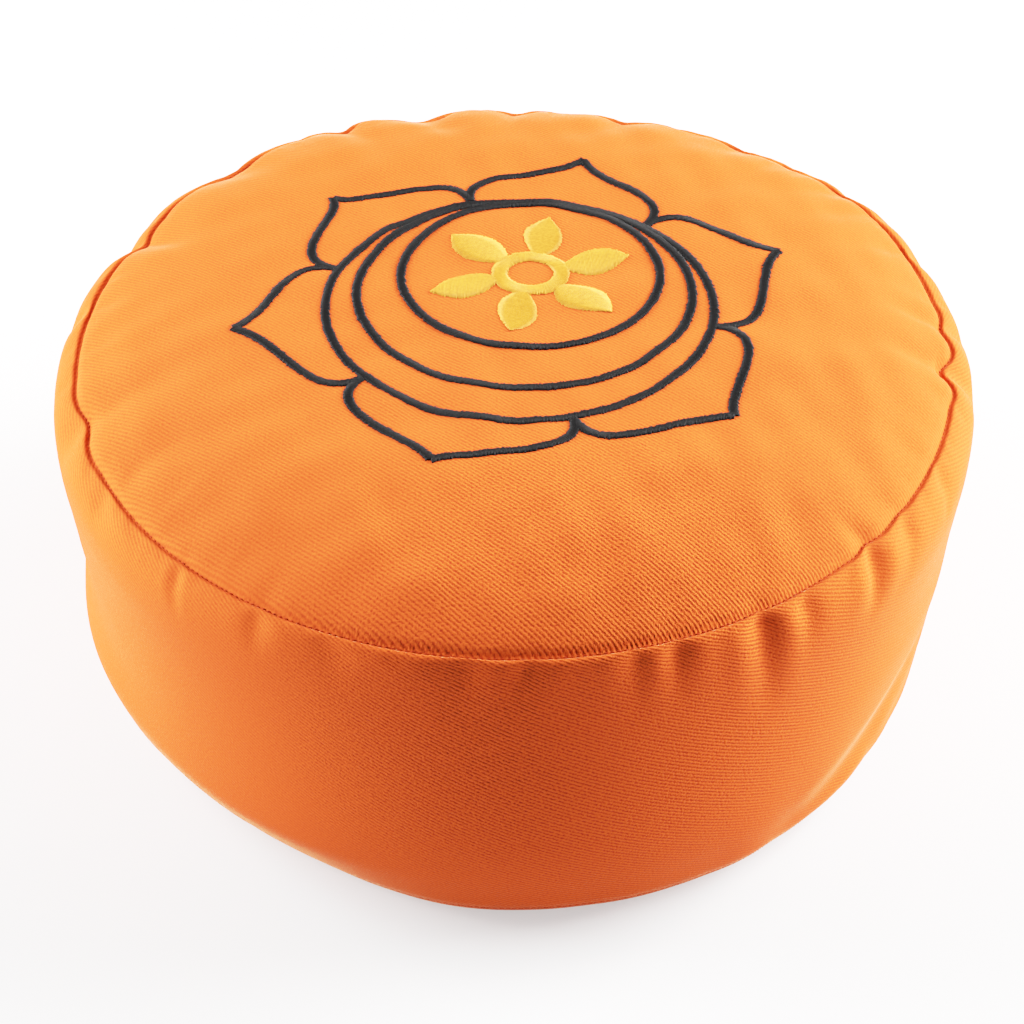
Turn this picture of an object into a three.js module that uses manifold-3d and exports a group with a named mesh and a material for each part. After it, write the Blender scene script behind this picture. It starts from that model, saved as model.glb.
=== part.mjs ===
// Round meditation cushion: a filled drum of orange cotton twill, gathered into its seams,
// with a lotus embroidered on the top panel.
// Millimetres, +Z up, front towards -Y, origin on the floor under the middle.
import * as THREE from 'three';
import { mergeVertices } from 'three/addons/utils/BufferGeometryUtils.js';
import Module from 'manifold-3d';

// Driving dimensions of the filled cushion
const SEAM_RADIUS = 156;
const SEAM_HEIGHT = 131;
const BASE_SEAM_RADIUS = 156.8;
const BASE_SEAM_HEIGHT = 8.5;
const CROWN_TILT = 6;
const FRONT_AZIMUTH = -88;
const FRONT_SPREAD = 66;
const PUCKER_ONSET = 9;
const TOP_DIP_SHARE = 0.55;
const TOP_DIP_LIMIT = 0.7;
const ROUND_REACH = 90;
const BASE_GATHER_TURN = 7;
const BASE_GATHER_SHARE = 0.15;
const BASE_GATHER_SPREAD = 1.7;

// Driving dimensions of the embroidery
const THREAD_GAP = 0.4;
const THREAD_HEIGHT = 1.1;
const LINE_WIDTH = 3.5;
const LOTUS_CENTRE = new THREE.Vector2(2, 2.7);
const LOTUS_TURN = -11;
const LOTUS_STRETCH = new THREE.Vector3(1.025, 0.975, 1);
const PETAL_JOIN_RADIUS = 69;
const PETAL_SHOULDER = { radius: 91.8, share: 0.95 };
const PETAL_NECK = { radius: 83.7, share: 0.2 };
const PETAL_STEPS = 10;
const BLOSSOM_SHIFT = 20;
const BLOSSOM_LEAVES = 6;
const BLOSSOM_LEAF_STEPS = 10;
const BLOSSOM_TIP_RADIUS = 37;
const BLOSSOM_LEAF_ROOT = 11;
const BLOSSOM_LEAF_WIDTH = 15;
const BLOSSOM_RING_RADIUS = 11;
const BLOSSOM_RING_WIDTH = 6;
const BLOSSOM_RING_STEPS = 18;

const table = (columns, rows) =>
  rows.map((row) => Object.fromEntries(columns.map((column, i) => [column, row[i]])));

// Top panel from its middle to the seam: distance in from the seam and rise above it
const TOP_SECTION = table(
  ['inset', 'rise', 'segments'],
  [
    [SEAM_RADIUS, 19, 1],
    [130, 18.95, 30],
    [104, 18.9, 60],
    [72, 18.5, 60],
    [52, 17.5, 120],
    [37, 15.6, 120],
    [25, 12.9, 240],
    [16, 10, 240],
    [9, 7, 240],
    [4, 4.4, 240],
    [0, 0, 240],
  ],
);

// Side band from the top seam down: drop below the seam and distance outside it,
// with the distance at the front, which stands steeper
const BAND_SECTION = table(
  ['drop', 'outwards', 'frontOutwards', 'segments'],
  [
    [0.3, 3.2, 2.4, 240],
    [3, 6, 3.6, 240],
    [7, 8.4, 4.4, 240],
    [12, 9.5, 5, 240],
    [20, 9.6, 5.5, 240],
    [32, 8.4, 6, 120],
    [46, 7, 6.4, 120],
    [60, 6.1, 6.8, 120],
    [74, 5.5, 7.2, 120],
    [88, 5.4, 7.2, 120],
    [100, 5.2, 6.2, 120],
    [110, 4.2, 4.4, 120],
    [118, 2.9, 2.4, 120],
  ],
);

// Bottom panel from its seam to the flat it rests on
const BASE_SECTION = table(
  ['inset', 'drop', 'segments'],
  [
    [0, 0, 120],
    [3, 3.8, 120],
    [8, 7, 120],
    [16, 8.5, 120],
    [BASE_SEAM_RADIUS, 8.5, 1],
  ],
);

// Gathers along the top seam, azimuths counted from the right (+X) through the back (+Y),
// leaning so many degrees for each millimetre from the seam
const PUCKERS = table(
  ['azimuth', 'spread', 'depth', 'bandReach', 'topReach', 'seamPull', 'lean'],
  [
    [-164, 5, 3.2, 24, 42, 2.2, 0],
    [-150, 4.5, 1.6, 20, 28, 0, 0],
    [-134, 3, 0.9, 26, 6, 0.1, 0.06],
    [-121.2, 3, 0.8, 24, 18, 0.2, 0],
    [-112, 5, 0.8, 30, 6, 0, 0.05],
    [-95.5, 5, 1.2, 40, 6, 0, 0],
    [-87.8, 3.4, 0.8, 36, 5, 0.1, -0.1],
    [-75.5, 3, 0.8, 38, 4, 0.1, 0],
    [-70.9, 3, 1.3, 38, 5, 0.1, 0],
    [-59.8, 3.4, 2.3, 56, 6, 0.3, 0.02],
    [-53.8, 3, 0.8, 36, 6, 0, 0],
    [-41.6, 3, 2.4, 34, 12, 1, -0.06],
    [-34.5, 3, 1.4, 30, 12, 0.3, -0.08],
    [-24, 3, 1.2, 28, 14, 0, -0.1],
    [-5, 3.4, 3.6, 22, 32, 4, 0],
    [4, 3, 2.3, 18, 26, 1, 0.1],
    [21, 4, 2, 22, 20, 0, 0],
    [37, 3.4, 2.4, 24, 18, 0.5, -0.1],
    [54, 4.2, 2, 22, 20, 0.5, 0.06],
    [73, 4, 2.8, 26, 24, 1.5, 0],
    [89.5, 3, 2.6, 24, 26, 1.5, 0.1],
    [104.5, 6, 4.6, 28, 38, 4.4, -0.04],
    [116.5, 3, 3.4, 24, 26, 2, 0],
    [135.5, 7, 3.6, 26, 28, 2.2, -0.08],
    [156, 3.2, 3, 24, 28, 1.5, 0.08],
    [172, 3.8, 1.9, 20, 24, 0, 0],
  ],
);

// Creases and tucks across the band: middle, half span, height there, climb per degree, width, depth
const FOLDS = table(
  ['azimuth', 'spread', 'height', 'climb', 'width', 'depth'],
  [
    [-36, 24, 33, 0.9, 9, 2.6],
    [-24, 40, 24, 0, 46, 3.8],
    [-172, 24, 64, 0.2, 18, 1.4],
    [-166, 26, 32, 0, 24, -2.2],
    [-132, 36, 11, 0, 22, 6.4],
    [-112, 22, 10, 0, 22, 1.8],
    [64, 30, 48, -0.3, 14, 1.8],
    [128, 28, 40, 0.2, 16, 1.8],
  ],
);

// Where the seam lies outside or inside a true circle
const OUT_OF_ROUND = table(
  ['azimuth', 'spread', 'outwards'],
  [
    [33, 24, 2.3],
    [48, 16, -1.6],
    [86, 50, -5.4],
    [155, 9, -2.8],
  ],
);

// Rings of the lotus: radius and shift towards the back of the lotus, so all three meet there
const LOTUS_RINGS = table(
  ['radius', 'shift', 'steps'],
  [
    [67.4, 0, 36],
    [58.6, 8.8, 32],
    [45.7, 20, 26],
  ],
);

// Petals of the lotus
const PETALS = table(
  ['azimuth', 'tipRadius'],
  [
    [32, 99.4],
    [87, 98.6],
    [145, 98.3],
    [198.6, 99.6],
    [263, 93],
    [329, 95.5],
  ],
);

// Shape helpers
const { cos, sin, PI, hypot, min, abs } = Math;
const radians = THREE.MathUtils.degToRad;
const swell = (t) => (abs(t) < 1 ? 0.5 + 0.5 * cos(PI * t) : 0);
const fade = (t) => swell(min(t, 1));
const turnBetween = (a, b) => THREE.MathUtils.euclideanModulo(a - b + 180, 360) - 180;

// How far the gathers of the top seam draw the cloth in at a distance from the seam
function gather(azimuth, distance, reachColumn, share) {
  let drawn = 0;
  for (const pucker of PUCKERS) {
    const turn = turnBetween(azimuth, pucker.azimuth + pucker.lean * distance);
    const across = swell(turn / pucker.spread);
    const onset = min(distance / PUCKER_ONSET, 1);
    const depth = THREE.MathUtils.lerp(pucker.seamPull, pucker.depth * share, onset);
    drawn += depth * across * fade(distance / pucker[reachColumn]);
  }
  return drawn;
}

// The lighter gathers of the bottom seam
function baseGather(azimuth, distance) {
  let drawn = 0;
  for (const pucker of PUCKERS) {
    const turn = turnBetween(azimuth, pucker.azimuth + BASE_GATHER_TURN);
    const across = swell(turn / (pucker.spread * BASE_GATHER_SPREAD));
    drawn += BASE_GATHER_SHARE * pucker.depth * across * fade(distance / pucker.bandReach);
  }
  return drawn;
}

function foldDepth(azimuth, height) {
  let drawn = 0;
  for (const fold of FOLDS) {
    const turn = turnBetween(azimuth, fold.azimuth);
    const offLine = height - fold.height - fold.climb * turn;
    drawn += fold.depth * swell(turn / fold.spread) * swell(offLine / fold.width);
  }
  return drawn;
}

function outOfRound(azimuth) {
  let outwards = 0;
  for (const row of OUT_OF_ROUND) {
    outwards += row.outwards * swell(turnBetween(azimuth, row.azimuth) / row.spread);
  }
  return outwards;
}

// How far the crown leans: higher towards the front, level again at the seam
function tilt(radius, azimuth) {
  const share = radius / SEAM_RADIUS;
  return -CROWN_TILT * share * sin(radians(azimuth)) * (1 - share * share);
}

function ring(segments, placeAt) {
  return Array.from({ length: segments }, (_, k) => {
    const azimuth = (360 * k) / segments;
    const { radius, height } = placeAt(azimuth);
    return [radius * cos(radians(azimuth)), radius * sin(radians(azimuth)), height];
  });
}

function topRing({ inset, rise, segments }) {
  return ring(segments, (azimuth) => {
    const radius = SEAM_RADIUS - inset;
    const pull = gather(azimuth, inset, 'topReach', 0) - outOfRound(azimuth) * fade(inset / ROUND_REACH);
    const dip = inset > 0 ? gather(azimuth, inset, 'topReach', TOP_DIP_SHARE) : 0;
    return {
      radius: radius - pull,
      height: SEAM_HEIGHT + rise + tilt(radius, azimuth) - min(dip, TOP_DIP_LIMIT * rise),
    };
  });
}

function bandRing({ drop, outwards, frontOutwards, segments }) {
  return ring(segments, (azimuth) => {
    const height = SEAM_HEIGHT - drop;
    const front = swell(turnBetween(azimuth, FRONT_AZIMUTH) / FRONT_SPREAD);
    const bulge = THREE.MathUtils.lerp(outwards, frontOutwards, front);
    const drawn =
      gather(azimuth, drop, 'bandReach', 1) -
      outOfRound(azimuth) * fade(drop / ROUND_REACH) +
      baseGather(azimuth, height - BASE_SEAM_HEIGHT) +
      foldDepth(azimuth, height);
    return { radius: SEAM_RADIUS + bulge - drawn, height };
  });
}

function baseRing({ inset, drop, segments }) {
  return ring(segments, (azimuth) => {
    const height = BASE_SEAM_HEIGHT - drop;
    const drawn = height > 0 ? baseGather(azimuth, inset) + foldDepth(azimuth, height) : 0;
    return { radius: BASE_SEAM_RADIUS - inset - drawn, height };
  });
}

// Closed skin through rings listed from the middle of the top to the middle of the base
function skin(rings) {
  const starts = [];
  const points = [];
  const triangles = [];
  for (const one of rings) {
    starts.push(points.length);
    points.push(...one);
  }
  for (let level = 0; level + 1 < rings.length; level += 1) {
    const upperCount = rings[level].length;
    const lowerCount = rings[level + 1].length;
    const upper = (k) => starts[level] + (k % upperCount);
    const lower = (k) => starts[level + 1] + (k % lowerCount);
    let i = upperCount > 1 ? 0 : upperCount;
    let j = lowerCount > 1 ? 0 : lowerCount;
    while (i < upperCount || j < lowerCount) {
      const upperNext = i < upperCount && (j >= lowerCount || (i + 1) / upperCount <= (j + 1) / lowerCount);
      if (upperNext) {
        triangles.push(upper(i), lower(j), upper(i + 1));
        i += 1;
      } else {
        triangles.push(upper(i), lower(j), lower(j + 1));
        j += 1;
      }
    }
  }
  const geometry = new THREE.BufferGeometry();
  geometry.setAttribute('position', new THREE.Float32BufferAttribute(points.flat(), 3));
  geometry.setIndex(triangles);
  return geometry;
}

function cushionGeometry() {
  return skin([
    ...TOP_SECTION.map(topRing),
    ...BAND_SECTION.map(bandRing),
    ...BASE_SECTION.map(baseRing),
  ]);
}

// Height of the top panel where the embroidery lies
function topHeight(x, y) {
  const radius = hypot(x, y);
  const inset = SEAM_RADIUS - radius;
  const outer = TOP_SECTION.findIndex((row) => row.inset <= inset);
  const near = TOP_SECTION[outer];
  const far = TOP_SECTION[Math.max(outer - 1, 0)];
  const share = far === near ? 0 : (inset - near.inset) / (far.inset - near.inset);
  const rise = THREE.MathUtils.lerp(near.rise, far.rise, share);
  return SEAM_HEIGHT + rise + tilt(radius, THREE.MathUtils.radToDeg(Math.atan2(y, x)));
}

// Embroidery: flat outlines raised to the thread's height and laid over the top panel
const polar = (radius, degrees) =>
  new THREE.Vector2(radius * cos(radians(degrees)), radius * sin(radians(degrees)));

function laidOver(shape, curveSegments) {
  const geometry = new THREE.ExtrudeGeometry(shape, {
    depth: THREAD_HEIGHT,
    bevelEnabled: false,
    curveSegments,
  });
  geometry.rotateZ(radians(LOTUS_TURN));
  geometry.scale(...LOTUS_STRETCH);
  geometry.translate(LOTUS_CENTRE.x, LOTUS_CENTRE.y, THREAD_GAP);
  const place = geometry.getAttribute('position');
  for (let k = 0; k < place.count; k += 1) {
    place.setZ(k, place.getZ(k) + topHeight(place.getX(k), place.getY(k)));
  }
  geometry.deleteAttribute('normal');
  geometry.deleteAttribute('uv');
  return mergeVertices(geometry, 1e-3);
}

function hoop(radius, width, shift) {
  const shape = new THREE.Shape().absarc(0, shift, radius + width / 2, 0, 2 * PI, false);
  shape.holes.push(new THREE.Path().absarc(0, shift, radius - width / 2, 0, 2 * PI, true));
  return shape;
}

function stroke(curve, steps) {
  const left = [];
  const right = [];
  for (let k = 0; k <= steps; k += 1) {
    const point = curve.getPoint(k / steps);
    const tangent = curve.getTangent(k / steps);
    const side = new THREE.Vector2(-tangent.y, tangent.x).multiplyScalar(LINE_WIDTH / 2);
    left.push(point.clone().add(side));
    right.unshift(point.clone().sub(side));
  }
  return new THREE.Shape([...left, ...right]);
}

// One side of a petal: an ogee from the outer ring, half way to the next petal, to the pointed tip
function petalSide({ azimuth, tipRadius }, neighbour) {
  const half = turnBetween(neighbour.azimuth, azimuth) / 2;
  const curve = new THREE.CubicBezierCurve(
    polar(PETAL_JOIN_RADIUS, azimuth + half),
    polar(PETAL_SHOULDER.radius, azimuth + half * PETAL_SHOULDER.share),
    polar(PETAL_NECK.radius, azimuth + half * PETAL_NECK.share),
    polar(tipRadius, azimuth),
  );
  return stroke(curve, PETAL_STEPS);
}

function blossomLeaf(direction) {
  const root = polar(BLOSSOM_LEAF_ROOT, direction);
  const tip = polar(BLOSSOM_TIP_RADIUS, direction);
  const middle = root.clone().lerp(tip, 0.5);
  const side = polar(BLOSSOM_LEAF_WIDTH, direction + 90);
  const left = middle.clone().add(side);
  const right = middle.clone().sub(side);
  const lift = new THREE.Vector2(0, BLOSSOM_SHIFT);
  for (const point of [root, tip, left, right]) {
    point.add(lift);
  }
  return new THREE.Shape()
    .moveTo(root.x, root.y)
    .quadraticCurveTo(right.x, right.y, tip.x, tip.y)
    .quadraticCurveTo(left.x, left.y, root.x, root.y);
}

const wasm = await Module();
wasm.setup();

function joined(geometries) {
  const solids = geometries.map(
    (geometry) =>
      new wasm.Manifold(
        new wasm.Mesh({
          numProp: 3,
          vertProperties: new Float32Array(geometry.getAttribute('position').array),
          triVerts: new Uint32Array(geometry.getIndex().array),
        }),
      ),
  );
  const mesh = solids.reduce((whole, solid) => whole.add(solid)).getMesh();
  const geometry = new THREE.BufferGeometry();
  geometry.setAttribute('position', new THREE.Float32BufferAttribute(mesh.vertProperties, 3));
  geometry.setIndex(new THREE.BufferAttribute(mesh.triVerts, 1));
  return geometry;
}

function lotusGeometry() {
  const pieces = LOTUS_RINGS.map(({ radius, shift, steps }) =>
    laidOver(hoop(radius, LINE_WIDTH, shift), steps),
  );
  PETALS.forEach((petal, k) => {
    const next = PETALS[(k + 1) % PETALS.length];
    pieces.push(laidOver(petalSide(petal, next), 1));
    pieces.push(laidOver(petalSide(next, petal), 1));
  });
  return joined(pieces);
}

function blossomGeometry() {
  const eye = hoop(BLOSSOM_RING_RADIUS, BLOSSOM_RING_WIDTH, BLOSSOM_SHIFT);
  const pieces = [laidOver(eye, BLOSSOM_RING_STEPS)];
  for (let k = 0; k < BLOSSOM_LEAVES; k += 1) {
    pieces.push(laidOver(blossomLeaf(90 + (360 * k) / BLOSSOM_LEAVES), BLOSSOM_LEAF_STEPS));
  }
  return joined(pieces);
}

// Nodes
const cloth = new THREE.MeshStandardMaterial({ color: '#ee8a3a', roughness: 0.9, metalness: 0 });
const blackThread = new THREE.MeshStandardMaterial({ color: '#231f20', roughness: 0.55, metalness: 0 });
const yellowThread = new THREE.MeshStandardMaterial({ color: '#f6c445', roughness: 0.5, metalness: 0 });

const cushionShape = cushionGeometry();
cushionShape.computeBoundingBox();
const middle = cushionShape.boundingBox.getCenter(new THREE.Vector3());

function node(name, geometry, material) {
  const mesh = new THREE.Mesh(geometry.translate(-middle.x, -middle.y, 0), material);
  mesh.name = name;
  return mesh;
}

const cushion = new THREE.Group();
cushion.name = 'meditation_cushion';
cushion.add(node('cushion', cushionShape, cloth));
cushion.add(node('lotus_outline', lotusGeometry(), blackThread));
cushion.add(node('centre_blossom', blossomGeometry(), yellowThread));

export default cushion;
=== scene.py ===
"""A round meditation cushion of orange cotton twill with a lotus embroidered on its top panel."""

import math

import bpy
import numpy as np
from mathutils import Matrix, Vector
from mathutils.bvhtree import BVHTree


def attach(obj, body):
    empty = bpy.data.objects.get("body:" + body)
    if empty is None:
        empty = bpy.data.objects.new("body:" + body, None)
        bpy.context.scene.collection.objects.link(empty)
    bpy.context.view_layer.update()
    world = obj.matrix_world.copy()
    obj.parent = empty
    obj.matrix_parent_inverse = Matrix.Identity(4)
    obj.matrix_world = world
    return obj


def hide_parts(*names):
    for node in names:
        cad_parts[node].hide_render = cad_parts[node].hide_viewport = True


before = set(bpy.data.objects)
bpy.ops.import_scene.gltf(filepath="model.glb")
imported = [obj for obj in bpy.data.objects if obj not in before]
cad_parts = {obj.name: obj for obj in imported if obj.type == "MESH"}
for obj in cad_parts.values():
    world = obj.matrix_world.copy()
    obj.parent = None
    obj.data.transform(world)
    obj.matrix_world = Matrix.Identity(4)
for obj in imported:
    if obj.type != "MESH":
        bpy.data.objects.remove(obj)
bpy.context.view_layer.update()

MM = 0.001
rng = np.random.default_rng(7)

# Sizes in millimetres, azimuths in degrees from the right (+X) through the back (+Y).
SEAM_RADIUS = 156.0
SEAM_HEIGHT = 131.0
BASE_SEAM_RADIUS = 156.8
BASE_SEAM_HEIGHT = 8.5
CROWN_TILT = 6.0
FRONT_AZIMUTH = -88.0
FRONT_SPREAD = 66.0
PUCKER_ONSET = 7.0
TOP_DIP_SHARE = 0.55
TOP_DIP_LIMIT = 0.7
ROUND_REACH = 90.0
BASE_GATHER_TURN = 7.0
BASE_GATHER_SHARE = 0.15
BASE_GATHER_SPREAD = 1.7
BASE_CREASE = 0.8
BASE_CREASE_WIDTH = 3.5
BASE_REACH = 18.0
BAND_MEAN_OUT = 6.0

# Top panel: distance in from the seam, rise above it
TOP_SECTION = np.array(
    [
        (0, 0),
        (1.5, 2.5),
        (4, 4.4),
        (9, 7.0),
        (16, 10),
        (25, 12.9),
        (37, 15.6),
        (52, 17.5),
        (72, 18.5),
        (104, 18.9),
        (130, 18.95),
        (156, 19),
    ],
    float,
)

# Side band: drop below the top seam, distance outside it, and the same where the front stands steeper
BAND_SECTION = np.array(
    [
        (0, 0, 0),
        (-0.9, 1.4, 1.2),
        (0.1, 3.2, 2.4),
        (3, 6, 3.2),
        (7, 8.4, 3.7),
        (12, 9.5, 4.2),
        (20, 9.6, 5.0),
        (32, 8.4, 6.2),
        (46, 7, 7.5),
        (60, 6.1, 8.6),
        (74, 5.5, 9.0),
        (88, 5.4, 8.4),
        (100, 5.2, 6.6),
        (110, 4.2, 4.2),
        (118, 2.9, 2.0),
        (122.5, 0.8, 0.6),
    ],
    float,
)

# Bottom panel: distance in from its seam, drop below it
BASE_SECTION = np.array([(0, 0), (3, 3.8), (8, 7), (16, 8.5), (24, 8.5)], float)

# Gathers along the top seam: azimuth, spread, depth, reach down the band, reach over the top,
# seam pull, lean in degrees for each millimetre down
PUCKERS = [
    (-164, 5, 3.2, 24, 42, 2.2, 0),
    (-150, 4.5, 1.6, 20, 28, 0, 0),
    (-134, 1.4, 0.9, 26, 6, 0.1, 0.06),
    (-121.2, 2.4, 0.8, 24, 18, 0.2, 0),
    (-112, 5, 0.8, 30, 6, 0, 0.05),
    (-95.5, 5, 1.2, 40, 6, 0, 0),
    (-87.8, 3, 1.5, 34, 5, 0.1, -0.1),
    (-75.5, 2.7, 1.4, 36, 4, 0.1, 0),
    (-70.9, 2.7, 2.1, 36, 5, 0.1, 0),
    (-59.8, 3, 3.3, 54, 6, 0.3, 0.02),
    (-53.8, 2.6, 1.3, 34, 6, 0, 0),
    (-41.6, 2.4, 2.9, 34, 12, 1, -0.06),
    (-34.5, 2.6, 1.4, 30, 12, 0.3, -0.08),
    (-24, 3, 1.2, 28, 14, 0, -0.1),
    (-5, 3.4, 3.6, 22, 32, 4, 0),
    (4, 2.8, 2.3, 18, 26, 1, 0.1),
    (21, 4, 2, 22, 20, 0, 0),
    (37, 3.4, 2.4, 24, 18, 0.5, -0.1),
    (54, 4.2, 2, 22, 20, 0.5, 0.06),
    (73, 4, 2.8, 26, 24, 1.5, 0),
    (89.5, 3, 2.6, 24, 26, 1.5, 0.1),
    (104.5, 6, 4.6, 28, 38, 4.4, -0.04),
    (116.5, 3, 3.4, 24, 26, 2, 0),
    (135.5, 7, 3.6, 26, 28, 2.2, -0.08),
    (156, 3.2, 3, 24, 28, 1.5, 0.08),
    (172, 3.8, 1.9, 20, 24, 0, 0),
]

# Creases and tucks across the band: azimuth, half span, height, climb per degree, width, depth
FOLDS = [
    (-36, 24, 33, 0.9, 16, 1.8),
    (-24, 40, 24, 0, 46, 3.8),
    (-172, 24, 64, 0.2, 18, 1.4),
    (-166, 26, 32, 0, 24, -2.2),
    (-132, 36, 3, 0, 30, 6.6),
    (-112, 22, 3, 0, 30, 1.8),
    (64, 30, 48, -0.3, 14, 1.8),
    (128, 28, 40, 0.2, 16, 1.8),
]

# Where the seam lies outside or inside a true circle: azimuth, spread, outwards
OUT_OF_ROUND = [(33, 24, 2.3), (48, 16, -1.6), (86, 50, -5.4), (155, 9, -2.8)]

# Embroidery
LOTUS_CENTRE = (2.0, 2.7)
LOTUS_TURN = -11.0
LOTUS_STRETCH = (1.025, 0.975)
LINE_WIDTH = 3.5
LOTUS_RINGS = [(67.4, 0.0), (58.6, 8.8), (45.7, 20.0)]
# Petals: azimuth, radius of the tip
PETALS = [(32, 99.4), (87, 98.6), (145, 98.3), (198.6, 99.6), (263, 93), (329, 95.5)]
PETAL_JOIN_RADIUS = 69.0
PETAL_SHOULDER = (91.8, 0.95)
PETAL_NECK = (83.7, 0.2)
BLOSSOM_SHIFT = 20.0
BLOSSOM_LEAVES = 6
BLOSSOM_TIP_RADIUS = 37.0
BLOSSOM_LEAF_ROOT = 11.0
BLOSSOM_LEAF_WIDTH = 15.0
BLOSSOM_RING_RADIUS = 11.0
BLOSSOM_RING_WIDTH = 6.0

# Points of the cover mesh: how many round it, and in each stretch from a seam its start, end and gap
SEGMENTS = 640
TOP_STEPS = [(0, 6, 0.75), (6, 30, 1.5), (30, 60, 2.5), (60, 150, 6.0)]
BAND_STEPS = [(0, 12, 0.8), (12, 40, 1.4), (40, 104, 2.5), (104, 131, 1.7)]
BASE_STEPS = [(0, BASE_REACH, 1.5)]
BAND_JOIN = 90.0

# Settling of the filled cover: one point in SETTLE_STEP is simulated, no move is over SETTLE_CAP,
# and the moves fade out SETTLE_REACH from the seam
SETTLE_STEP = 2
SETTLE_QUALITY = 5
SETTLE_SLACK = 0.012
SETTLE_PRESSURE = 4.0
SETTLE_BENDING = 0.5
SETTLE_FRAMES = 20
SETTLE_CAP = 1.6
SETTLE_REACH = 46.0
TINY = 1e-6

# Share of the settling that shows: azimuth, on the top panel, below the top seam, above the bottom seam
LOOSENESS = np.array(
    [
        (-180, 0.35, 0.5, 0.2),
        (-150, 0.3, 0.5, 0.05),
        (-125, 0.1, 0.3, 0.05),
        (-110, 0.05, 0.25, 0.05),
        (-60, 0.05, 0.35, 0.05),
        (-30, 0.15, 0.6, 0.1),
        (0, 0.35, 0.6, 0.3),
        (90, 0.5, 0.6, 0.5),
        (180, 0.35, 0.5, 0.2),
    ]
)

# Slope of the twill lines on the panels and on the band, and their pitch
TOP_GRAIN = -38.5
BAND_GRAIN = -28.0
TWILL_PITCH = 1.33
BAND_PITCH_SHARE = 1.05

# Strength of the twill: where its painted groove shade is strongest, at the front rim where light grazes,
# distances from there between which the lines weaken, their strength at either, middle tone, and the yarn's
# flecks
GROOVE_SHADE_AT = (22, -150, 104)
GROOVE_SHADE_REACH = (40, 116)
GROOVE_SHADE_LINES = (0.52, 0.17)
TWILL_TONE = 0.7
YARN_SCALE = 1250
YARN_DETAIL = 1
YARN_ROUGHNESS = 0.7
YARN_SHARE = 5.4
NOISE_MIDDLE = 0.5
TWILL_RELIEF = 0.3
TWILL_RELIEF_STRENGTH = 0.5
TWILL_FINISH = {
    "Roughness": 0.9,
    "Specular IOR Level": 0.06,
    "Sheen Weight": 0.3,
    "Sheen Roughness": 0.18,
    "Sheen Tint": (1, 0.72, 0.42, 1),
}

# Colours
ORANGE = (0.53, 0.07, 0.0097)
# Colour of the twill grooves: painted shade in the grooves, darker than the cloth
ORANGE_GROOVE_SHADE = (0.24, 0.021, 0.003)
BLACK = (0.0035, 0.003, 0.0032)
YELLOW = (0.56, 0.215, 0.022)
SEAM_ORANGE = (0.36, 0.035, 0.007)

# Flecks of the embroidery and seam threads, and how dark they are
THREAD_FLECK_SCALE = 900
THREAD_FLECK_DETAIL = 2
THREAD_FLECK_RANGE = (0.3, 0.65)
THREAD_DARK_SHARE = 0.72

# Satin stitches: places across the line, lift there, pitch, slant in degrees, and their unevenness
SATIN_SHARE = np.array([-1.0, -0.6, 0.6, 1.0])
SATIN_LIFT = np.array([0.0, 0.36, 0.36, 0.0])
SATIN_PITCH = 0.5
SATIN_SLANT = 14.0
SATIN_UNEVEN = 0.16
SATIN_LEAST = 0.4
SATIN_LOOSE = 0.08
THREAD_RADIUS = 0.33
THREAD_HEIGHT_SHARE = 0.8
RING_LEVEL = 0.12
PETAL_LEVEL = 0.05
BLOSSOM_RING_LEVEL = 0.15
RING_POINTS = 361
PETAL_POINTS = 60
BLOSSOM_RING_POINTS = 121
BLOSSOM_LEAF_POINTS = 60
TANGENT_STEP = 0.3

# Height in metres from which the cover is felt for under the stitches
ABOVE_ALL = 1.0

# Seam stitches: pitch, length, radius, places along a stitch and rise there
STITCH_PITCH = 2.2
STITCH_LENGTH = 1.4
STITCH_RADIUS = 0.2
STITCH_PLACES = np.array([-0.5, -0.2, 0.2, 0.5])
STITCH_RISE = np.array([0.0, 0.3, 0.3, 0.0])
# Name, seam, distance inwards and upwards from it
SEAM_STITCHES = [
    ("top_seam_stitches", "top", 0.1, 0.15),
    ("base_seam_stitches", "base", 0.05, -0.3),
]

# Section of a gather, in shares of its spread, and the height of its side ridges as a share of its depth
VALLEY_WIDTH = 0.55
RIDGE_PLACE = 1.3
RIDGE_WIDTH = 0.5
RIDGE_SHARE = 0.2

# Unevenness of the filling under the top panel, which sets in over LUMP_ONSET from the seam
LUMP_HEIGHT = 0.4
LUMP_LENGTH = 42.0
LUMP_COUNT = 28
LUMP_ONSET = 20.0
LUMP_WAVES = rng.normal(0, 2 * math.pi / LUMP_LENGTH, (LUMP_COUNT, 2))
LUMP_PHASES = rng.uniform(0, 2 * math.pi, LUMP_COUNT)


# Cover shape
def bump(t):
    return np.where(np.abs(t) < 1, 0.5 + 0.5 * np.cos(np.pi * np.clip(t, -1, 1)), 0.0)


def crease(t):
    """A pinched valley with a soft ridge on either side."""
    valley = np.exp(-((t / VALLEY_WIDTH) ** 2))
    ridges = np.exp(-(((np.abs(t) - RIDGE_PLACE) / RIDGE_WIDTH) ** 2))
    return valley - RIDGE_SHARE * ridges


def turn_between(a, b):
    return (a - b + 180) % 360 - 180


def smooth(x, xs, ys):
    """Smooth curve through the points of a section."""
    slopes = np.gradient(ys, xs)
    k = np.clip(np.searchsorted(xs, x) - 1, 0, len(xs) - 2)
    h = xs[k + 1] - xs[k]
    t = (x - xs[k]) / h
    return (
        (2 * t**3 - 3 * t**2 + 1) * ys[k]
        + (t**3 - 2 * t**2 + t) * h * slopes[k]
        + (3 * t**2 - 2 * t**3) * ys[k + 1]
        + (t**3 - t**2) * h * slopes[k + 1]
    )


def steps(rows):
    """Distances from the seam at which the cover has a row of points."""
    found = [np.arange(low, high, gap) for low, high, gap in rows]
    return np.concatenate(found + [[rows[-1][1]]])


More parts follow.
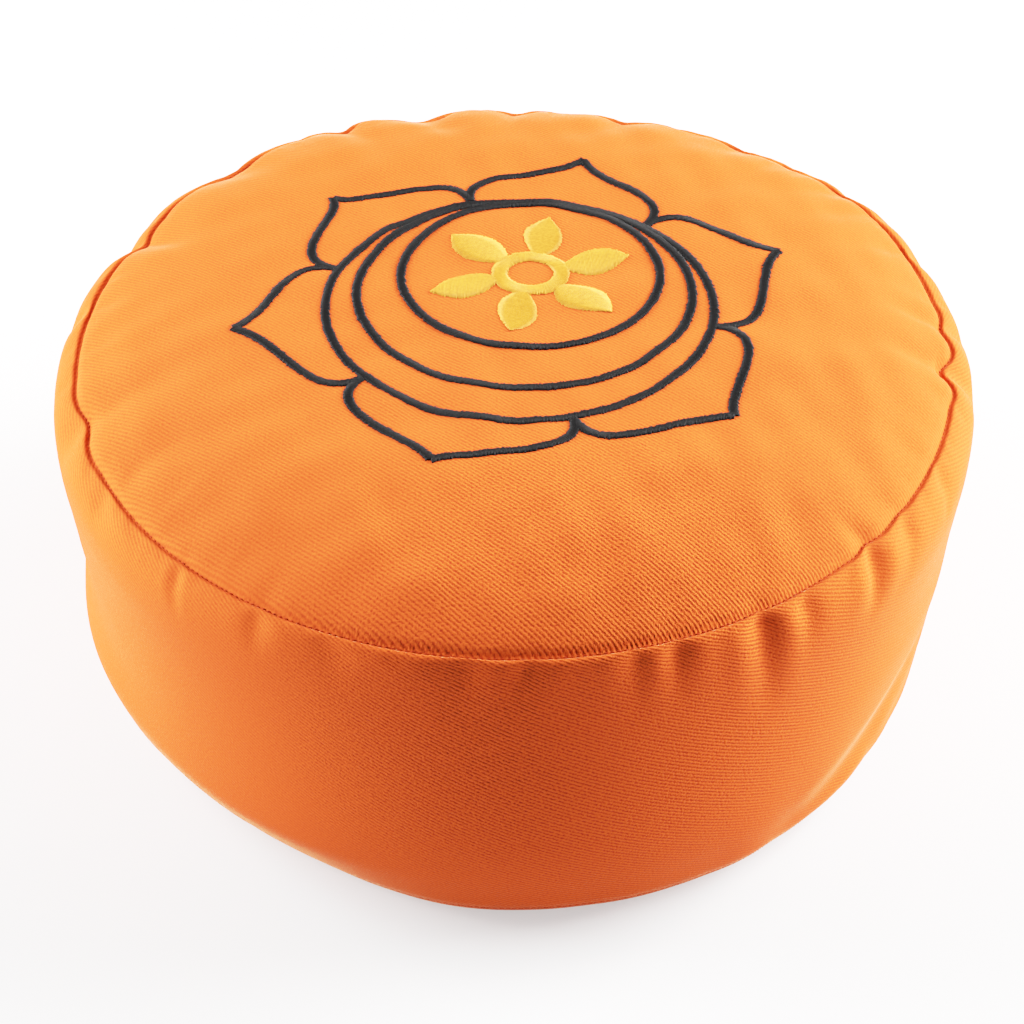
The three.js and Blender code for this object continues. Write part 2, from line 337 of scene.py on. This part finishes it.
def gather(azimuth, distance, reach_column, share):
    drawn = 0.0
    for row in PUCKERS:
        across = crease(turn_between(azimuth, row[0] + row[6] * distance) / row[1])
        onset = np.minimum(distance / PUCKER_ONSET, 1)
        depth = row[5] + (row[2] * share - row[5]) * onset
        drawn = drawn + depth * across * bump(np.minimum(distance / row[reach_column], 1))
    return drawn


def base_gather(azimuth, distance):
    drawn = 0.0
    for row in PUCKERS:
        turn = turn_between(azimuth, row[0] + BASE_GATHER_TURN)
        across = crease(turn / (row[1] * BASE_GATHER_SPREAD))
        drawn = drawn + BASE_GATHER_SHARE * row[2] * across * bump(np.minimum(distance / row[3], 1))
    return drawn


def fold_depth(azimuth, height):
    drawn = 0.0
    for middle, spread, level, climb, width, depth in FOLDS:
        turn = turn_between(azimuth, middle)
        drawn = drawn + depth * bump(turn / spread) * bump((height - level - climb * turn) / width)
    return drawn


def out_of_round(azimuth):
    return sum(out * bump(turn_between(azimuth, middle) / spread) for middle, spread, out in OUT_OF_ROUND)


def lumps(x, y):
    waves = np.cos(x[..., None] * LUMP_WAVES[:, 0] + y[..., None] * LUMP_WAVES[:, 1] + LUMP_PHASES)
    return LUMP_HEIGHT * waves.sum(-1) / math.sqrt(LUMP_COUNT / 2)


def tilt(radius, azimuth):
    share = radius / SEAM_RADIUS
    return -CROWN_TILT * share * np.sin(np.radians(azimuth)) * (1 - share**2)


def placed(radius, azimuth, height):
    a = np.radians(azimuth)
    return np.stack(np.broadcast_arrays(radius * np.cos(a), radius * np.sin(a), height), -1)


def cover_rows(azimuth):
    """Rows of points on the top, band and base, and the distances down the band from seam to seam."""
    inset = steps(TOP_STEPS)[::-1, None]
    rise = smooth(inset, *TOP_SECTION.T)
    radius = SEAM_RADIUS - inset
    pull = gather(azimuth, inset, 4, 0) - out_of_round(azimuth) * bump(np.minimum(inset / ROUND_REACH, 1))
    dip = np.where(inset > 0, gather(azimuth, inset, 4, TOP_DIP_SHARE), 0)
    level = SEAM_HEIGHT + rise + tilt(radius, azimuth) - np.minimum(dip, TOP_DIP_LIMIT * rise)
    top = placed(radius - pull, azimuth, level)
    top[..., 2] += lumps(top[..., 0], top[..., 1]) * np.minimum(inset / LUMP_ONSET, 1)

    along = np.concatenate([[0], np.cumsum(np.hypot(*np.diff(BAND_SECTION[:, :2].T)))])
    s = steps(BAND_STEPS)
    s = s * along[-1] / s[-1]
    drop = smooth(s, along, BAND_SECTION[:, 0])[1:-1, None]
    out = smooth(s, along, BAND_SECTION[:, 1])[1:-1, None]
    front_out = smooth(s, along, BAND_SECTION[:, 2])[1:-1, None]
    out = out + (front_out - out) * bump(turn_between(azimuth, FRONT_AZIMUTH) / FRONT_SPREAD)
    height = SEAM_HEIGHT - drop
    drawn = (
        gather(azimuth, s[1:-1, None], 3, 1)
        - out_of_round(azimuth) * bump(np.minimum(drop / ROUND_REACH, 1))
        + base_gather(azimuth, s[-1] - s[1:-1, None])
        + BASE_CREASE * bump((s[-1] - s[1:-1, None]) / BASE_CREASE_WIDTH)
        + fold_depth(azimuth, height)
    )
    band = placed(SEAM_RADIUS + out - drawn, azimuth, height)

    inset = steps(BASE_STEPS)[:, None]
    height = np.maximum(BASE_SEAM_HEIGHT - smooth(inset, *BASE_SECTION.T), 0)
    drawn = base_gather(azimuth, inset) + fold_depth(azimuth, height)
    drawn = drawn * bump(np.minimum(inset / BASE_REACH, 1))
    drawn = drawn + BASE_CREASE * bump(inset / BASE_CREASE_WIDTH)
    base = placed(BASE_SEAM_RADIUS - inset - drawn, azimuth, height)
    return top, band, base, s


def mesh_object(name, points, faces):
    mesh = bpy.data.meshes.new(name)
    mesh.from_pydata(points.tolist(), [], [list(f) for f in faces])
    mesh.polygons.foreach_set("use_smooth", np.full(len(mesh.polygons), True))
    mesh.update()
    obj = bpy.data.objects.new(name, mesh)
    bpy.context.collection.objects.link(obj)
    return obj


def grid(count, around):
    """Quads between rows of points that close on themselves."""
    k = np.arange(around)
    after = (k + 1) % around
    i = np.arange(count - 1)[:, None] * around
    return np.stack([i + k, i + around + k, i + around + after, i + after], -1).reshape(-1, 4)


def looseness(azimuth, column, distance):
    """How far the cloth may settle, falling away from the seam."""
    share = np.interp(turn_between(azimuth, 0), LOOSENESS[:, 0], LOOSENESS[:, column])
    return share * bump(np.minimum(distance / SETTLE_REACH, 1))


def settled(rows, held_rows, azimuth, share):
    """The rows after the filling has pushed the slack cloth out between its seams, which stay put."""
    kept = sorted({*range(0, len(rows), SETTLE_STEP), *held_rows})
    coarse = rows[kept, ::SETTLE_STEP]
    around = coarse.shape[1]
    obj = mesh_object("settling", coarse.reshape(-1, 3) * MM, grid(len(kept), around).tolist())
    held = obj.vertex_groups.new(name="held")
    for row in held_rows:
        first = kept.index(row) * around
        held.add(list(range(first, first + around)), 1.0, "REPLACE")
    cloth = obj.modifiers.new("settling", "CLOTH")
    cloth.settings.quality = SETTLE_QUALITY
    cloth.settings.bending_stiffness = SETTLE_BENDING
    cloth.settings.use_pressure = True
    cloth.settings.uniform_pressure_force = SETTLE_PRESSURE
    cloth.settings.shrink_min = -SETTLE_SLACK
    cloth.settings.vertex_group_mass = held.name
    cloth.settings.effector_weights.gravity = 0
    cloth.collision_settings.use_collision = False
    scene = bpy.context.scene
    for step in range(1, SETTLE_FRAMES + 1):
        scene.frame_set(step)
    moved = obj.evaluated_get(bpy.context.evaluated_depsgraph_get()).to_mesh()
    after = np.empty(len(moved.vertices) * 3)
    moved.vertices.foreach_get("co", after)
    scene.frame_set(1)
    bpy.data.objects.remove(obj)

    # Outward, sideways and upward moves, less what the whole row does, capped and evened between rows
    a = np.radians(azimuth[::SETTLE_STEP])
    turn = np.array([[np.cos(a), np.sin(a)], [-np.sin(a), np.cos(a)]])
    move = after.reshape(coarse.shape) / MM - coarse
    move[..., :2] = np.einsum("ijk,rkj->rki", turn, move[..., :2])
    move -= move.mean(1, keepdims=True)
    size = np.linalg.norm(move, axis=-1, keepdims=True)
    move *= SETTLE_CAP * np.tanh(size / SETTLE_CAP) / np.maximum(size, TINY)
    move[1:-1] = (move[:-2] + 2 * move[1:-1] + move[2:]) / 4

    # Back on the fine rows
    waves = np.fft.rfft(move, axis=1)
    fine = np.fft.irfft(waves, len(azimuth), axis=1) * len(azimuth) / around
    place = np.arange(len(rows))
    fine = np.apply_along_axis(lambda column: np.interp(place, kept, column), 0, fine) * share[..., None]
    a = np.radians(azimuth)
    back = np.array([[np.cos(a), -np.sin(a)], [np.sin(a), np.cos(a)]])
    fine[..., :2] = np.einsum("ijk,rkj->rki", back, fine[..., :2])
    return rows + fine


def cover():
    azimuth = BAND_JOIN + np.arange(SEGMENTS) * 360 / SEGMENTS
    top, band, base, s = cover_rows(azimuth)
    rows = np.concatenate([top, band, base])
    count = len(rows)
    first = len(top) - 1
    final = first + len(band) + 1
    on_floor = range(final + 1, count)
    share = np.concatenate(
        [
            looseness(azimuth, 1, steps(TOP_STEPS)[::-1, None]),
            looseness(azimuth, 2, s[1:-1, None]) + looseness(azimuth, 3, s[-1] - s[1:-1, None]),
            np.zeros((len(base), SEGMENTS)),
        ]
    )
    rows = settled(rows, [0, first, final, *on_floor], azimuth, share)
    flat = rows.reshape(-1, 3)
    low, high = flat.min(0), flat.max(0)
    shift = np.array([(low[0] + high[0]) / 2, (low[1] + high[1]) / 2, 0])
    flat = flat - shift
    crown = np.array([[-shift[0], -shift[1], flat[:SEGMENTS, 2].mean()]])
    foot = np.array([[-shift[0], -shift[1], 0.0]])
    points = np.concatenate([flat, crown, foot])
    k = np.arange(SEGMENTS)
    nxt = (k + 1) % SEGMENTS
    quads = grid(count, SEGMENTS)
    last = (count - 1) * SEGMENTS
    crown_at = count * SEGMENTS
    caps = [(crown_at, a, b) for a, b in zip(k.tolist(), nxt.tolist())]
    caps += [(last + a, crown_at + 1, last + b) for a, b in zip(k.tolist(), nxt.tolist())]
    obj = mesh_object("cushion_cover", points * MM, quads.tolist() + caps)

    # Cloth coordinates in metres: flat on the panels, unrolled on the band
    plan = points[:, :2] * MM
    uv = plan[quads]
    across = np.arange(SEGMENTS + 1) * 2 * math.pi / SEGMENTS * (SEAM_RADIUS + BAND_MEAN_OUT) * MM
    a = math.radians(BAND_GRAIN - TOP_GRAIN)
    turn = np.array([[math.cos(a), -math.sin(a)], [math.sin(a), math.cos(a)]])
    for row in range(first, final):
        upper, lower = -s[row - first] * MM, -s[row - first + 1] * MM
        corners = ((across[:-1], upper), (across[:-1], lower), (across[1:], lower), (across[1:], upper))
        for corner, (x, y) in enumerate(corners):
            strip = np.stack(np.broadcast_arrays(x, y), -1)
            uv[row * SEGMENTS : (row + 1) * SEGMENTS, corner] = strip @ turn / BAND_PITCH_SHARE
    cap_uv = plan[np.array(caps)]
    layer = obj.data.uv_layers.new(name="cloth")
    every_uv = np.concatenate([uv.reshape(-1, 2), cap_uv.reshape(-1, 2)])
    layer.uv.foreach_set("vector", every_uv.astype(np.float32).ravel())
    seams = {
        "top": flat[first * SEGMENTS : (first + 1) * SEGMENTS],
        "base": flat[final * SEGMENTS : (final + 1) * SEGMENTS],
    }
    return obj, seams, shift


# Materials
def finish(shader, values):
    for socket, value in values.items():
        shader.inputs[socket].default_value = value


def twill(name, colour, groove_shade_colour):
    material = bpy.data.materials.new(name)
    material.use_nodes = True
    tree = material.node_tree
    nodes, links = tree.nodes, tree.links
    shader = nodes["Principled BSDF"]
    finish(shader, TWILL_FINISH)

    cloth = nodes.new("ShaderNodeUVMap")
    cloth.uv_map = "cloth"
    slope = math.radians(-TOP_GRAIN)
    turns = 2 * math.pi / (TWILL_PITCH * MM)
    count = nodes.new("ShaderNodeVectorMath")
    count.operation = "DOT_PRODUCT"
    count.inputs[1].default_value = (math.sin(slope) * turns, math.cos(slope) * turns, 0)
    links.new(cloth.outputs["UV"], count.inputs[0])
    wave = nodes.new("ShaderNodeMath")
    wave.operation = "SINE"
    links.new(count.outputs["Value"], wave.inputs[0])

    # Painted shade: the twill lines are darker, with more relief, near the front rim where the light grazes
    place = nodes.new("ShaderNodeTexCoord")
    away = nodes.new("ShaderNodeVectorMath")
    away.operation = "DISTANCE"
    away.inputs[1].default_value = [v * MM for v in GROOVE_SHADE_AT]
    links.new(place.outputs["Object"], away.inputs[0])
    line_shade = nodes.new("ShaderNodeMapRange")
    line_shade.interpolation_type = "SMOOTHSTEP"
    line_shade.inputs["From Min"].default_value = GROOVE_SHADE_REACH[0] * MM
    line_shade.inputs["From Max"].default_value = GROOVE_SHADE_REACH[1] * MM
    line_shade.inputs["To Min"].default_value = GROOVE_SHADE_LINES[0]
    line_shade.inputs["To Max"].default_value = GROOVE_SHADE_LINES[1]
    links.new(away.outputs["Value"], line_shade.inputs["Value"])

    yarn = nodes.new("ShaderNodeTexNoise")
    yarn.inputs["Scale"].default_value = YARN_SCALE
    yarn.inputs["Detail"].default_value = YARN_DETAIL
    yarn.inputs["Roughness"].default_value = YARN_ROUGHNESS
    links.new(cloth.outputs["UV"], yarn.inputs["Vector"])
    fleck = nodes.new("ShaderNodeMath")
    fleck.operation = "SUBTRACT"
    fleck.inputs[1].default_value = NOISE_MIDDLE
    links.new(yarn.outputs["Fac"], fleck.inputs[0])
    lines = nodes.new("ShaderNodeMath")
    lines.operation = "MULTIPLY_ADD"
    lines.inputs[1].default_value = YARN_SHARE
    links.new(fleck.outputs["Value"], lines.inputs[0])
    links.new(wave.outputs["Value"], lines.inputs[2])
    weave = nodes.new("ShaderNodeMath")
    weave.operation = "MULTIPLY_ADD"
    weave.inputs[2].default_value = TWILL_TONE
    links.new(lines.outputs["Value"], weave.inputs[0])
    links.new(line_shade.outputs["Result"], weave.inputs[1])

    # From the painted groove shade to the cloth colour, along the twill lines and the yarn's own flecks
    tone = nodes.new("ShaderNodeValToRGB")
    tone.color_ramp.elements[0].color = (*groove_shade_colour, 1)
    tone.color_ramp.elements[1].color = (*colour, 1)
    links.new(weave.outputs["Value"], tone.inputs["Fac"])
    links.new(tone.outputs["Color"], shader.inputs["Base Color"])

    raised = nodes.new("ShaderNodeBump")
    raised.inputs["Strength"].default_value = TWILL_RELIEF_STRENGTH
    raised.inputs["Distance"].default_value = TWILL_RELIEF * MM
    links.new(weave.outputs["Value"], raised.inputs["Height"])
    links.new(raised.outputs["Normal"], shader.inputs["Normal"])
    return material


def thread(name, colour, rough, specular):
    material = bpy.data.materials.new(name)
    material.use_nodes = True
    nodes, links = material.node_tree.nodes, material.node_tree.links
    shader = nodes["Principled BSDF"]
    finish(shader, {"Roughness": rough, "Specular IOR Level": specular})
    place = nodes.new("ShaderNodeTexCoord")
    fleck = nodes.new("ShaderNodeTexNoise")
    fleck.inputs["Scale"].default_value = THREAD_FLECK_SCALE
    fleck.inputs["Detail"].default_value = THREAD_FLECK_DETAIL
    links.new(place.outputs["Object"], fleck.inputs["Vector"])
    tone = nodes.new("ShaderNodeValToRGB")
    tone.color_ramp.elements[0].position = THREAD_FLECK_RANGE[0]
    tone.color_ramp.elements[0].color = (*[c * THREAD_DARK_SHARE for c in colour], 1)
    tone.color_ramp.elements[1].position = THREAD_FLECK_RANGE[1]
    tone.color_ramp.elements[1].color = (*colour, 1)
    links.new(fleck.outputs["Fac"], tone.inputs["Fac"])
    links.new(tone.outputs["Color"], shader.inputs["Base Color"])
    return material


# Threads
def threads(name, lines, beside, radius):
    """One mesh of short threads. lines is (threads, points, 3), beside each thread's sideways direction."""
    count, rings = lines.shape[:2]
    side = np.zeros((count, 1, 3))
    side[:, 0, :] = beside * radius
    lift = np.array([0, 0, radius * THREAD_HEIGHT_SHARE])
    corners = np.stack([lines + side, lines + lift, lines - side, lines - lift], 2)
    points = corners.reshape(-1, 3)
    sides = corners.shape[2]
    base = (np.arange(count) * rings * sides)[:, None, None]
    near = base + (np.arange(rings - 1) * sides)[None, :, None]
    far = near + sides
    c = np.arange(sides)[None, None, :]
    d = (c + 1) % sides
    walls = np.stack([near + c, near + d, far + d, far + c], -1).reshape(-1, 4)
    start = base[:, :, 0] + np.arange(sides)[::-1]
    end = base[:, :, 0] + (rings - 1) * sides + np.arange(sides)
    return mesh_object(name, points * MM, np.concatenate([walls, start, end]).tolist())


def on_lotus(points, shift):
    """From the lotus's own plan to the cushion's."""
    a = math.radians(LOTUS_TURN)
    turned = points @ np.array([[math.cos(a), math.sin(a)], [-math.sin(a), math.cos(a)]])
    return turned * LOTUS_STRETCH + LOTUS_CENTRE - shift[:2]


def evenly(points, pitch):
    """Points at a regular pitch along a line, and the direction of the line there."""
    length = np.concatenate([[0], np.cumsum(np.hypot(*np.diff(points.T)))])
    count = max(int(length[-1] / pitch), 2)
    at = (np.arange(count) + 0.5) * length[-1] / count

    def on_line(distance):
        return np.stack([np.interp(distance, length, column) for column in points.T], -1)

    along = on_line(at + TANGENT_STEP) - on_line(at - TANGENT_STEP)
    return on_line(at), along / np.linalg.norm(along, axis=1, keepdims=True)


def polar(radius, degrees):
    a = np.radians(degrees)
    return np.stack([radius * np.cos(a), radius * np.sin(a)], -1)


def petal_side(middle, tip_radius, neighbour):
    half = turn_between(neighbour, middle) / 2
    a, b, c, d = (
        polar(PETAL_JOIN_RADIUS, middle + half),
        polar(PETAL_SHOULDER[0], middle + half * PETAL_SHOULDER[1]),
        polar(PETAL_NECK[0], middle + half * PETAL_NECK[1]),
        polar(tip_radius, middle),
    )
    t = np.linspace(0, 1, PETAL_POINTS)[:, None]
    return (1 - t) ** 3 * a + 3 * t * (1 - t) ** 2 * b + 3 * t**2 * (1 - t) * c + t**3 * d


class Ground:
    """Height of the cover under the embroidery, in millimetres."""

    def __init__(self, obj):
        mesh = obj.data
        corners = [v.co.copy() for v in mesh.vertices]
        self.tree = BVHTree.FromPolygons(corners, [p.vertices[:] for p in mesh.polygons])

    def __call__(self, plan):
        flat = plan.reshape(-1, 2) * MM
        down = Vector((0, 0, -1))
        found = [self.tree.ray_cast(Vector((x, y, ABOVE_ALL)), down)[0].z for x, y in flat]
        return np.array(found).reshape(plan.shape[:-1]) / MM


def satin(middles, along, half_width, ground, level=0.0):
    """Stitches across a line: their points and sideways directions."""
    a = math.radians(SATIN_SLANT)
    across = np.stack([-along[:, 1], along[:, 0]], -1) * math.cos(a) + along * math.sin(a)
    reach = half_width + rng.normal(0, SATIN_UNEVEN, (len(middles), 2))
    reach = np.maximum(reach, SATIN_LEAST)
    share = np.where(SATIN_SHARE < 0, reach[:, :1] * SATIN_SHARE, reach[:, 1:] * SATIN_SHARE)
    plan = middles[:, None] + across[:, None] * share[..., None]
    height = ground(plan) + SATIN_LIFT + level + rng.uniform(0, SATIN_LOOSE, (len(middles), 1))
    lines = np.concatenate([plan, height[..., None]], -1)
    return lines, np.concatenate([along, np.zeros((len(along), 1))], -1)


def lotus(ground, shift):
    lines, sides = [], []
    for n, (radius, lift) in enumerate(LOTUS_RINGS):
        ring = polar(radius, np.linspace(90, 450, RING_POINTS)) + [0, lift]
        made = satin(*evenly(on_lotus(ring, shift), SATIN_PITCH), LINE_WIDTH / 2, ground, RING_LEVEL * n)
        lines.append(made[0])
        sides.append(made[1])
    for k, (azimuth, tip_radius) in enumerate(PETALS):
        for neighbour in (PETALS[k - 1], PETALS[(k + 1) % len(PETALS)]):
            side = on_lotus(petal_side(azimuth, tip_radius, neighbour[0]), shift)
            made = satin(*evenly(side, SATIN_PITCH), LINE_WIDTH / 2, ground, PETAL_LEVEL)
            lines.append(made[0])
            sides.append(made[1])
    return threads("lotus_stitches", np.concatenate(lines), np.concatenate(sides), THREAD_RADIUS)


def blossom(ground, shift):
    lines, sides = [], []
    ring = polar(BLOSSOM_RING_RADIUS, np.linspace(0, 360, BLOSSOM_RING_POINTS)) + [0, BLOSSOM_SHIFT]
    stitched = evenly(on_lotus(ring, shift), SATIN_PITCH)
    made = satin(*stitched, BLOSSOM_RING_WIDTH / 2, ground, BLOSSOM_RING_LEVEL)
    lines.append(made[0])
    sides.append(made[1])
    for k in range(BLOSSOM_LEAVES):
        direction = 90 + 360 * k / BLOSSOM_LEAVES
        root, tip = polar(BLOSSOM_LEAF_ROOT, direction), polar(BLOSSOM_TIP_RADIUS, direction)
        spine = np.linspace(root, tip, BLOSSOM_LEAF_POINTS)
        middles, along = evenly(on_lotus(spine + [0, BLOSSOM_SHIFT], shift), SATIN_PITCH)
        v = (np.arange(len(middles)) + 0.5) / len(middles)
        half = 2 * v * (1 - v) * BLOSSOM_LEAF_WIDTH
        made = satin(middles, along, half[:, None], ground)
        lines.append(made[0])
        sides.append(made[1])
    return threads("blossom_stitches", np.concatenate(lines), np.concatenate(sides), THREAD_RADIUS)


def seam_stitches(name, ring, inwards, upwards):
    closed = np.concatenate([ring, ring[:1]])
    length = np.concatenate([[0], np.cumsum(np.linalg.norm(np.diff(closed, axis=0), axis=1))])
    at = np.arange(0, length[-1], STITCH_PITCH)[:, None] + STITCH_PLACES * STITCH_LENGTH
    at = at % length[-1]
    lines = np.stack([np.interp(at, length, closed[:, i]) for i in range(3)], -1)
    out = lines.mean(1) * [1, 1, 0]
    out /= np.linalg.norm(out, axis=1, keepdims=True)
    lines = lines - out[:, None] * inwards
    lines[..., 2] += upwards + STITCH_RISE
    return threads(name, lines, out, STITCH_RADIUS)


# Build
orange = twill("orange_twill", ORANGE, ORANGE_GROOVE_SHADE)
black = thread("black_thread", BLACK, rough=0.6, specular=0.1)
yellow = thread("yellow_thread", YELLOW, rough=0.5, specular=0.1)
seam_orange = thread("seam_thread", SEAM_ORANGE, rough=0.7, specular=0.05)

cushion, seams, shift = cover()
cushion.data.materials.append(orange)
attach(cushion, "root")
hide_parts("cushion")

ground = Ground(cushion)
for piece, node, material, slot in (
    (lotus(ground, shift), "lotus_outline", black, "black_thread"),
    (blossom(ground, shift), "centre_blossom", yellow, "yellow_thread"),
):
    piece.data.materials.append(material)
    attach(piece, "root")
    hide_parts(node)

for name, seam, inwards, upwards in SEAM_STITCHES:
    piece = seam_stitches(name, seams[seam], inwards, upwards)
    piece.data.materials.append(seam_orange)
    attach(piece, "root")

# Floor, light and camera, in metres
FLOOR_RADIUS = 1.15
FLOOR_SIDES = 96
FLOOR_PALE = 0.42
FLOOR_FINISH = {
    "Base Color": (FLOOR_PALE, FLOOR_PALE, FLOOR_PALE, 1),
    "Roughness": 0.9,
    "Specular IOR Level": 0.0,
    "Emission Strength": 0.55,
}
floor_turns = np.linspace(0, 2 * math.pi, FLOOR_SIDES + 1)[:-1]
floor_edge = [(FLOOR_RADIUS * math.cos(a), FLOOR_RADIUS * math.sin(a), 0) for a in floor_turns]
floor_mesh = bpy.data.meshes.new("floor")
floor_mesh.from_pydata(floor_edge, [], [tuple(range(len(floor_edge)))])
floor = bpy.data.objects.new("floor", floor_mesh)
bpy.context.collection.objects.link(floor)
paper = bpy.data.materials.new("paper")
paper.use_nodes = True
finish(paper.node_tree.nodes["Principled BSDF"], FLOOR_FINISH)
floor_mesh.materials.append(paper)


LAMP_AIM_HEIGHT = 0.08


def softbox(name, azimuth, elevation, distance, size, power):
    data = bpy.data.lights.new(name, "AREA")
    data.shape = "DISK"
    data.size = size
    data.energy = power
    lamp = bpy.data.objects.new(name, data)
    a, e = math.radians(azimuth), math.radians(elevation)
    place = Vector((math.cos(a) * math.cos(e), math.sin(a) * math.cos(e), math.sin(e))) * distance
    lamp.location = place + Vector((0, 0, LAMP_AIM_HEIGHT))
    lamp.rotation_euler = place.to_track_quat("Z", "Y").to_euler()
    lamp.visible_camera = False
    bpy.context.collection.objects.link(lamp)


# Softboxes: name, azimuth, elevation, distance, size, power
SOFTBOXES = [
    ("left_softbox", 167, 26, 1.3, 0.9, 74),
    ("right_softbox", 14, 26, 1.3, 0.9, 108),
    ("left_low_softbox", 181, 10, 1.3, 0.8, 48),
    ("right_low_softbox", -1, 10, 1.3, 0.8, 32),
    ("left_back_softbox", 150, 25, 1.3, 0.9, 20),
    ("right_back_softbox", 30, 25, 1.3, 0.9, 35),
]
for row in SOFTBOXES:
    softbox(*row)

# A camera's soft shoulder: light falling in, light shown
COMBINED_CURVE = 3
TONE_CURVE = [
    (0, 0),
    (0.25, 0.25),
    (0.45, 0.45),
    (0.8, 0.635),
    (1.3, 0.8),
    (2, 0.91),
    (2.6, 0.965),
    (3.4, 1),
]

# White surroundings, which only the camera sees
world = bpy.data.worlds.new("studio")
world.use_nodes = True
sky = world.node_tree.nodes["Background"]
sky.inputs["Color"].default_value = (1, 1, 1, 1)
rays = world.node_tree.nodes.new("ShaderNodeLightPath")
strength = world.node_tree.nodes.new("ShaderNodeMapRange")
strength.inputs["To Max"].default_value = TONE_CURVE[-1][0]
world.node_tree.links.new(rays.outputs["Is Camera Ray"], strength.inputs["Value"])
world.node_tree.links.new(strength.outputs["Result"], sky.inputs["Strength"])
bpy.context.scene.world = world
view = bpy.context.scene.view_settings
view.view_transform = "Standard"
view.use_curve_mapping = True
view.curve_mapping.clip_max_x = TONE_CURVE[-1][0]
tone = view.curve_mapping.curves[COMBINED_CURVE]
tone.points[1].location = TONE_CURVE[-1]
for light_in, shown in TONE_CURVE[1:-1]:
    tone.points.new(light_in, shown)
view.curve_mapping.update()

CAMERA_SENSOR = 36
CAMERA_LENS = 93.75
CAMERA_PLACE = (0, -0.74714, 0.73253)
CAMERA_AIM = (-0.00076, 0.0019, 0.05269)
camera_data = bpy.data.cameras.new("camera")
camera_data.sensor_width = CAMERA_SENSOR
camera_data.lens = CAMERA_LENS
camera = bpy.data.objects.new("camera", camera_data)
camera.location = CAMERA_PLACE
aim = Vector(CAMERA_AIM) - camera.location
camera.rotation_euler = aim.to_track_quat("-Z", "Y").to_euler()
bpy.context.collection.objects.link(camera)
bpy.context.scene.camera = camera

bpy.context.view_layer.update()
